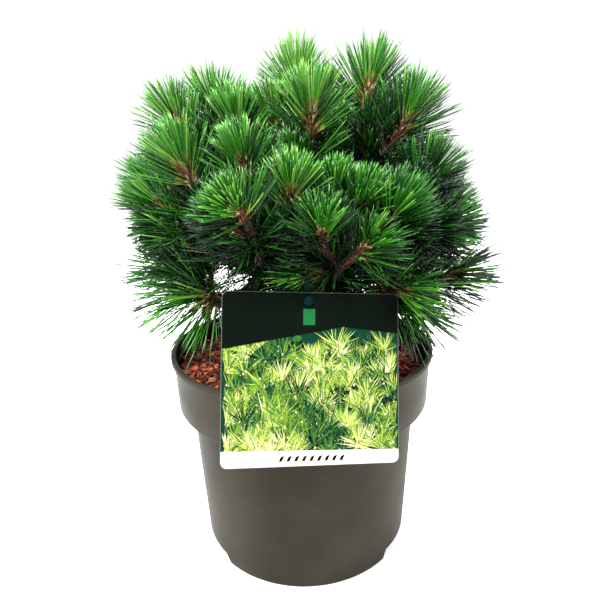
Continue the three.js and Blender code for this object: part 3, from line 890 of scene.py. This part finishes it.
def make_peg():
    heap = Heap()
    foot, head = (np.array(PEG[end], float) for end in ("foot", "head"))
    way = unit(head - foot)
    across = unit(np.cross(way, [0, 1, 0]))
    depth = np.cross(way, across)
    outline = rounded_rectangle(PEG["width"], PEG["depth"], 0.8, 3)
    shares = [0, 0.06, 0.5, 0.94, 0.985, 1]
    scales = [0.2, 1, 1, 1, 0.8, 0.45]
    rings = []
    for share, scale in zip(shares, scales):
        middle = lerp(foot, head, share)
        rings += [middle + scale * (x * across + y * depth) for x, y in outline]
    heap.add(rings, flat_ended(len(shares), len(outline)))

    # The knob in the label's hole.
    x, z = CARD["hole"]
    front = FACE - 0.3
    neck, knob = PEG["neck"], PEG["knob"]
    profile = [
        (neck, 6.5),
        (neck, front),
        (knob * 0.96, front - 0.05),
        (knob, front - 0.5),
        (knob, front - 1.6),
        (knob * 0.9, front - 2.15),
        (knob * 0.6, front - PEG["knob_depth"]),
        (0.1, front - 2.3),
    ]
    turns = round_angles(40)
    points = [
        [x + radius * math.cos(turn), y, z + radius * math.sin(turn)]
        for radius, y in profile
        for turn in turns
    ]
    heap.add(from_card(points), flat_ended(len(profile), len(turns)))
    teal = plastic("peg_teal", linear(4, 26, 25), linear(3, 21, 20), linear(6, 32, 30), 0.3, 0.42)
    heap.build("peg", [teal], "peg_plastic", ["label_peg"], sharp=35)


# Trunk and boughs with the relief of scaly bark.
def bark_relief(rng, rings, sides, depth, pitch):
    """A relief of plates, each three sides wide and one pitch long, with cracks between them."""
    plates = rng.normal(0, 1, (rings // pitch + 2, sides // 3 + 2))
    fine = rng.normal(0, 1, (rings, sides))
    side = np.arange(sides)

    def relief(index, angles):
        row = index // pitch
        plate = plates[row, (side // 3 + (row * 7) % 3) % plates.shape[1]]
        crack = (side % 3 == 0) | (index % pitch == 0)
        return depth * (0.45 * plate + 0.22 * fine[index] - 0.9 * crack)

    return relief


def make_limbs(rng):
    heap = Heap()
    steps, sides = 150, 48
    heights = np.linspace(BED["soil_top"] + 0.5, trunk_points[-1, 2], steps)
    path = [trunk_at(height) for height in heights]
    share = (heights - heights[0]) / (heights[-1] - heights[0])
    flare = TRUNK["flare"] * np.exp(-(heights - BED["soil_top"]) / TRUNK["flare_height"])
    radii = lerp(TRUNK["foot"], TRUNK["tip"], share) + flare - 0.3
    add_tube(heap, path, radii, sides, 0, bark_relief(rng, steps, sides, 0.55, 6))
    steps, sides = 70, 30
    radii = lerp(BOUGH["foot"], BOUGH["tip"], np.linspace(0, 1, steps)) - 0.2
    for start, tip, _ in BOUGHS.values():
        path = bough_line(start, tip, np.linspace(0.04, 1, steps))
        add_tube(heap, path, radii, sides, 0, bark_relief(rng, steps, sides, 0.38, 5))
    nodes = ["trunk"] + ["bough_" + name for name in BOUGHS]
    heap.build("limb_bark", bark_materials, "bark", nodes)


# Twigs, buds, sheaths and needles.
def add_bud(heap, rng, foot, way, form, scale):
    """A pointed bud with rows of scales, in one of the buds' browns."""
    length, radius = (scale * size for size in form)
    shares = np.array([0, 0.12, 0.28, 0.45, 0.62, 0.78, 0.9, 1])
    profile = np.array([0.55, 0.9, 1, 0.95, 0.78, 0.5, 0.26, 0.06]) * radius

    def relief(index, angles):
        return profile[index] * 0.13 * np.sin(5 * angles + 2.3 * index)

    slot = rng.integers(0, len(bud_materials))
    add_tube(heap, foot + np.outer(shares * length, way), profile, 10, slot, relief)


def stretch(rng, controls, behind, most, scale):
    """Places in one zone of a shoot: how far along the zone, the point, the axis, the way out."""
    length = np.linalg.norm(np.diff(bezier(*controls, np.linspace(0, 1, 20)), axis=0), axis=1).sum()
    far, near = (scale * distance for distance in behind)
    start = max(0.05, 1 - far / length)
    end = max(start, 1 - near / length)
    count = int(most * scale * (end - start) * length / (far - near))
    grown = (np.arange(count) + rng.random(count)) / max(count, 1)
    shares = lerp(start, end, grown)
    axis = unit(bezier(*controls, shares + 0.01) - bezier(*controls, shares - 0.01))
    turn = np.arange(count) * GOLDEN_ANGLE + rng.normal(0, 0.4, count)
    side, third = square_to(axis)
    outward = side * np.cos(turn)[:, None] + third * np.sin(turn)[:, None]
    return grown, bezier(*controls, shares), axis, outward


def droop_at(height):
    """How far needles droop at a height, from 0 to 1."""
    return np.clip((NEEDLE["droop_below"] - height) / NEEDLE["droop_over"], 0, 1)


def brush(rng, controls, zone, share, scale, tone):
    """Roots, ways, lengths, axes and tones of the needle pairs in one zone of a shoot."""
    behind, pairs, angles, (first, last), tones = ZONES[zone]
    bud = controls[2]
    most = pairs * (NEEDLE["sparse_share"] if bud[2] < NEEDLE["sparse_height"] else 1)
    grown, at, axis, outward = stretch(rng, controls, behind, most, scale)
    count = len(grown)
    angle = np.radians(lerp(*angles, grown) + rng.normal(0, 7, count))
    way = axis * np.cos(angle)[:, None] + outward * np.sin(angle)[:, None]
    low = droop_at(bud[2])
    way = unit(way - UP * NEEDLE["droop"] * low)
    root = at + outward * SHOOT["twig"] * 0.8 * scale
    reach = lerp(first, last * share, grown) * share * scale * rng.uniform(0.88, 1.05, count)
    # The zone's tones darken the needles far behind the bud: partly their older colour, partly painted shade
    # at the brush's foot.
    shade = tone + lerp(*tones, grown) + rng.normal(0, lerp(*TONE["needles"], low), count)
    # Painted light: the older needles low in the crown are made lighter where the crown shades them.
    if zone not in ("young", "low"):
        shade += TONE["painted_light_old_lift"] * low
    if zone == "young":
        bare_way = BARE["front"] if bud[1] < BARE["front_below"] else unit(bud * [1, 1, 0])
        facing = unit(bare_way - axis * (axis @ bare_way)[:, None])
        left = np.einsum("ij,ij->i", outward, facing) < math.cos(math.radians(BARE["half_angle"]))
        left |= (grown > BARE["below"]) | (rng.random(count) < BARE["left"])
        return [values[left] for values in (root, way, reach, axis, shade)]
    return root, way, reach, axis, shade


def needles_at(root, way, bend, length, share):
    """Points on curved needles, at a share of their length."""
    return root + way * (length * share)[:, None] + bend * (length * share**2)[:, None]


def is_clear(root, way, bend, length, crossing=False):
    """Whether needles stay clear of the label, the pot, the peg and, unless crossing, the opening."""
    clear = np.ones(len(root), bool)
    for share in NEEDLE["checked"]:
        points = needles_at(root, way, bend, length, share)
        clear &= clear_of_card(points, NEEDLE["margin"]) & clear_of_pot(points, NEEDLE["margin"])
        clear &= clear_of_line(points, PEG["foot"], PEG["head"], PEG["clear"])
        for line in OPENING["lines"]:
            clear &= crossing | clear_of_line(points, *line, OPENING["radius"])
    return clear


def add_needles(heap, rng, root, way, reach, axis, shade):
    """Two curved needles from each root. Returns which of the pairs have room."""
    count = len(root)
    twist = unit(rng.normal(0, 1, (count, 3)))
    split = unit(np.cross(way, twist))
    low = droop_at(root[:, 2:])
    flex = lerp(*NEEDLE["flex"], low)
    kept = np.zeros(count, bool)
    for sign in (-1, 1):
        spread = math.radians(NEEDLE["pair_angle"]) * rng.uniform(0.4, 1.6, count)
        turned = unit(way + sign * split * np.tan(spread)[:, None])
        sway = np.clip(rng.normal(0, 1, (count, 3)), -1.6, 1.6)
        bend = split * (-sign * 0.05) + flex * sway + axis * 0.06 - UP * low * 0.08
        full = reach * rng.uniform(0.93, 1.04, count)
        length = np.zeros(count)
        crossing = rng.random(count) < OPENING["crossed"]
        for share in NEEDLE["lengths"]:
            free = is_clear(root, turned, bend, full * share, crossing)
            length = np.where((length == 0) & free, full * share, length)
        room = length > 0
        kept |= room
        side = unit(np.cross(turned, rng.normal(0, 1, (count, 3))))
        width = lerp(*NEEDLE["widths"], low[:, 0]) * rng.uniform(0.85, 1.15, count)
        form_needles(heap, *(values[room] for values in (root, turned, bend, length, side, width, shade)))
    return kept


def form_needles(heap, root, turned, bend, length, side, width, shade):
    """Tapering three-sided needles, of which the lighter ones have a paler foot."""
    face = np.cross(turned, side)
    points = []
    for share, scale in ((0, 0.75), (0.28, 1), (0.86, 0.92)):
        centre = needles_at(root, turned, bend, length, share)
        for corner in (90, 210, 330):
            turn = math.radians(corner)
            offset = side * math.cos(turn) * 1.1 + face * math.sin(turn) * 0.8
            points.append(centre + offset * (width * scale / 2)[:, None])
    points.append(needles_at(root, turned, bend, length, 1))
    greens = len(GREENS)
    slots = np.clip((shade * greens).astype(int), 0, greens - 1)
    foot_slots = np.where(slots >= LIGHT_GREENS, greens, slots)
    quads = ring_faces(3, 3)
    ends = np.array([[0, 2, 1], [6, 7, 9], [7, 8, 9], [8, 6, 9]])
    heap.add(np.stack(points, axis=1), [quads[:3], quads[3:], ends], [foot_slots, slots, slots])


def add_sheaths(heap, rng, root, way, form, chances):
    """A short blunt sheath or scale on each root, in one of the browns by their chances."""
    count = len(root)
    side = unit(np.cross(way, ASLANT))
    face = np.cross(way, side)
    long = form["length"] * rng.uniform(0.7, 1.15, count)
    points = []
    for share, width in ((-0.1, 1), (1, 0.75)):
        centre = root + way * (long * share)[:, None]
        for turn in (0.4, 1.97, 3.54, 5.11):
            out = side * math.cos(turn) + face * math.sin(turn)
            points.append(centre + form["radius"] * width * out)
    slots = rng.choice(len(sheath_materials), count, p=chances)
    heap.add(np.stack(points, axis=1), flat_ended(2, 4), slots)


def add_scales(heap, rng, controls, scale):
    """The brown column below the needles."""
    grown, at, axis, outward = stretch(rng, controls, SCALES["behind"], SCALES["count"], scale)
    angle = math.radians(SCALES["angle"])
    way = unit(axis * math.cos(angle) + outward * math.sin(angle) + rng.normal(0, 0.12, axis.shape))
    root = at + outward * SHOOT["twig"] * 0.85 * scale
    upper = grown > SCALES["foot_below"]
    high = controls[2][2] > NEEDLE["low_height"]
    chances = SCALES["high_chances" if high else "low_chances"]
    add_sheaths(heap, rng, root[upper], way[upper], SCALES, chances)
    add_sheaths(heap, rng, root[~upper], way[~upper], SCALES, SCALES["foot_chances"])


def grow_shoot(rng, heaps, controls, needle_share, scale, tone):
    """One shoot: its twig, its buds and its needles with their sheaths."""
    needles, sheaths, twigs, buds = heaps
    shares = np.linspace(0, 1, 26)
    radii = lerp(SHOOT["twig"], SHOOT["brush_radius"], shares) * lerp(0.6, 1, scale**3)

    def relief(index, angles):
        return 0.28 * np.sin(4 * angles + 2.4 * index) * (index % 2)

    add_tube(twigs, bezier(*controls, shares), radii, 9, 0 if scale == 1 else 1, relief)
    bud = controls[2]
    way = unit(bud - controls[1])
    add_bud(buds, rng, bud - way * 3, way, BUD["main"], scale)
    side, third = square_to(way)
    around = int(rng.integers(1, 4)) if scale == 1 else 1
    for index in range(around):
        turn = 2 * math.pi * index / around + rng.random()
        out = side * math.cos(turn) + third * math.sin(turn)
        add_bud(buds, rng, bud - way * 4 + out * 1.2, unit(way + 0.5 * out), BUD["small"], scale)
    add_scales(sheaths, rng, controls, scale)
    outer = "low" if bud[2] < NEEDLE["low_height"] else "young"
    for zone in (outer, "old"):
        root, out, *rest = brush(rng, controls, zone, needle_share, scale, tone)
        kept = add_needles(needles, rng, root, out, *rest)
        if zone == outer:
            seen = kept & (rng.random(len(kept)) < SHEATH["share"])
            add_sheaths(sheaths, rng, root[seen], out[seen], SHEATH, SHEATH["chances"])


def side_controls(rng, controls):
    """The curve of a side shoot."""
    share = SIDE_SHOOT["along"] + rng.normal(0, 0.03)
    at, before, after = bezier(*controls, [share, share - 0.02, share + 0.02])
    way = unit(after - before)
    side = unit(np.cross(way, rng.normal(0, 1, 3)))
    angle = math.radians(SIDE_SHOOT["angle"])
    out = unit(way * math.cos(angle) + side * math.sin(angle) + UP * 0.1)
    length = SIDE_SHOOT["length"] * rng.uniform(0.8, 1.15)
    bend = at + out * length * 0.55
    return at, bend, bend + unit(out + way * 0.7) * length * 0.5


def grow_mass(rng, heaps, own):
    """The stem of one mass, the needles round its limb, its shoots and their side shoots."""
    needles, sheaths, twigs, buds = heaps
    foot, knob = own["stem"]
    add_tube(twigs, [foot, knob, knob + (knob - foot) * 0.4], [3, 3.8, 2.2], 10, 1)
    zone = "inner_low" if knob[2] < NEEDLE["low_stem"] else "inner"
    # The needles round the limb, deep in the crown, take a low tone: partly the older needles' own colour,
    # partly painted shade.
    add_needles(needles, rng, *brush(rng, own["limb"], zone, 1, 1, TONE["inner"]))
    for controls in own["shoots"]:
        bud = controls[2]
        # Painted light and shade: the tone rises with the bud's height, partly as the shoots' own colour,
        # and by place it darkens towards the flanks and lightens towards the back.
        above = min(max((bud[2] - TONE["from"]) / TONE["over"], 0), 1)
        tone = lerp(TONE["low"], TONE["high"], above) + TONE["painted_light_by_place"] @ bud
        tone += TONE["painted_shade_aside"] * abs(bud[0]) + rng.normal(0, TONE["spread"])
        grow_shoot(rng, heaps, controls, own["share"], 1, tone)
        if bud[2] < NEEDLE["low_height"]:
            continue
        twig = side_controls(rng, controls)
        way = unit(twig[2] - twig[0])[None]
        if is_clear(twig[0][None], way, 0 * way, np.array([SIDE_SHOOT["room"]]))[0]:
            grow_shoot(rng, heaps, twig, own["share"], SIDE_SHOOT["scale"], tone + TONE["side_shoot"])


# The sides of the crown and the masses that each of them takes the place of.
GROUPS = {
    "top": ["top", "top_left", "top_right", "upper_back"],
    "left": ["left", "low_left", "front_left"],
    "right": ["right", "low_right", "front_right"],
    "back": ["low_back", "low_back_left", "low_back_right"],
}


def grow_crown():
    sheaths, twigs, buds = Heap(), Heap(), Heap()
    for group, names in GROUPS.items():
        needles = Heap()
        for index, own in enumerate(masses):
            if own["name"] in names:
                grow_mass(np.random.default_rng(500 + index), (needles, sheaths, twigs, buds), own)
        nodes = ["needles_" + name for name in names]
        needles.build("needles_" + group + "_side", needle_materials, "needles", nodes)
    sheaths.build("needle_sheaths", sheath_materials, "bark", sharp=60)
    twigs.build("twigs", twig_materials, "bark", sharp=60)
    buds.build("buds", bud_materials, "bark", sharp=60)


make_pot()
bed_rng = np.random.default_rng(11)
make_bed(bed_rng)
make_chips(bed_rng)
make_label(np.random.default_rng(23))
make_peg()
make_limbs(np.random.default_rng(31))
grow_crown()

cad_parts["soil"].data.materials.clear()
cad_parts["soil"].data.materials.append(soil_materials[0])


# Floor, light and camera.
def make_floor():
    mesh = bpy.data.meshes.new("floor")
    size, drop = 6.0, -0.0004
    corners = [(-size, -size, drop), (size, -size, drop), (size, size, drop), (-size, size, drop)]
    mesh.from_pydata(corners, [], [(0, 1, 2, 3)])
    mesh.materials.append(shader("floor_pale", (0.97, 0.97, 0.97, 1), 0.9, 0.2)[0])
    floor = add_object("floor", mesh)


# The lamps' places and sizes in metres and their power in watts. All of them point at the crown.
LAMPS = {
    "top_front": ((-0.35, -0.6, 1.8), 0.5, 70),
    "left": ((-1.4, -0.1, 1.1), 0.5, 24),
    "right": ((1.4, -0.1, 1.1), 0.5, 26),
    "back": ((0.2, 1.5, 1.3), 0.9, 40),
}
LAMPS_AIM = Vector((0, 0, 0.2))


def add_lamp(name, at, size, energy):
    data = bpy.data.lights.new(name, "AREA")
    data.shape = "DISK"
    data.size = size
    data.energy = energy
    lamp = add_object(name, data)
    lamp.location = at
    lamp.rotation_euler = (LAMPS_AIM - Vector(at)).to_track_quat("-Z", "Y").to_euler()


def set_stage():
    make_floor()
    world = bpy.data.worlds.new("studio")
    world.use_nodes = True
    background = world.node_tree.nodes["Background"]
    background.inputs["Color"].default_value = (1, 1, 1, 1)
    background.inputs["Strength"].default_value = 1.04
    bpy.context.scene.world = world
    for name, lamp in LAMPS.items():
        add_lamp(name, *lamp)
    bpy.context.scene.view_settings.view_transform = "Standard"


def set_camera():
    data = bpy.data.cameras.new("camera")
    data.sensor_fit = "HORIZONTAL"
    data.sensor_width = 36
    data.lens = 36 * CAMERA["focal_pixels"] / CAMERA["image"]
    data.clip_start = 0.01
    pitch, roll = math.radians(CAMERA["pitch"]), math.radians(CAMERA["roll"])
    forward = np.array([0, math.cos(pitch), -math.sin(pitch)])
    up = np.array([0, math.sin(pitch), math.cos(pitch)])
    right = np.array([1.0, 0, 0])
    turned_right = math.cos(roll) * right + math.sin(roll) * up
    turned_up = math.cos(roll) * up - math.sin(roll) * right
    axes = np.stack([turned_right, turned_up, -forward], axis=1)
    camera = add_object("camera", data)
    camera.matrix_world = Matrix.Translation(Vector(CAMERA["at"]) * MM) @ Matrix(axes.tolist()).to_4x4()
    bpy.context.scene.camera = camera


set_stage()
set_camera()
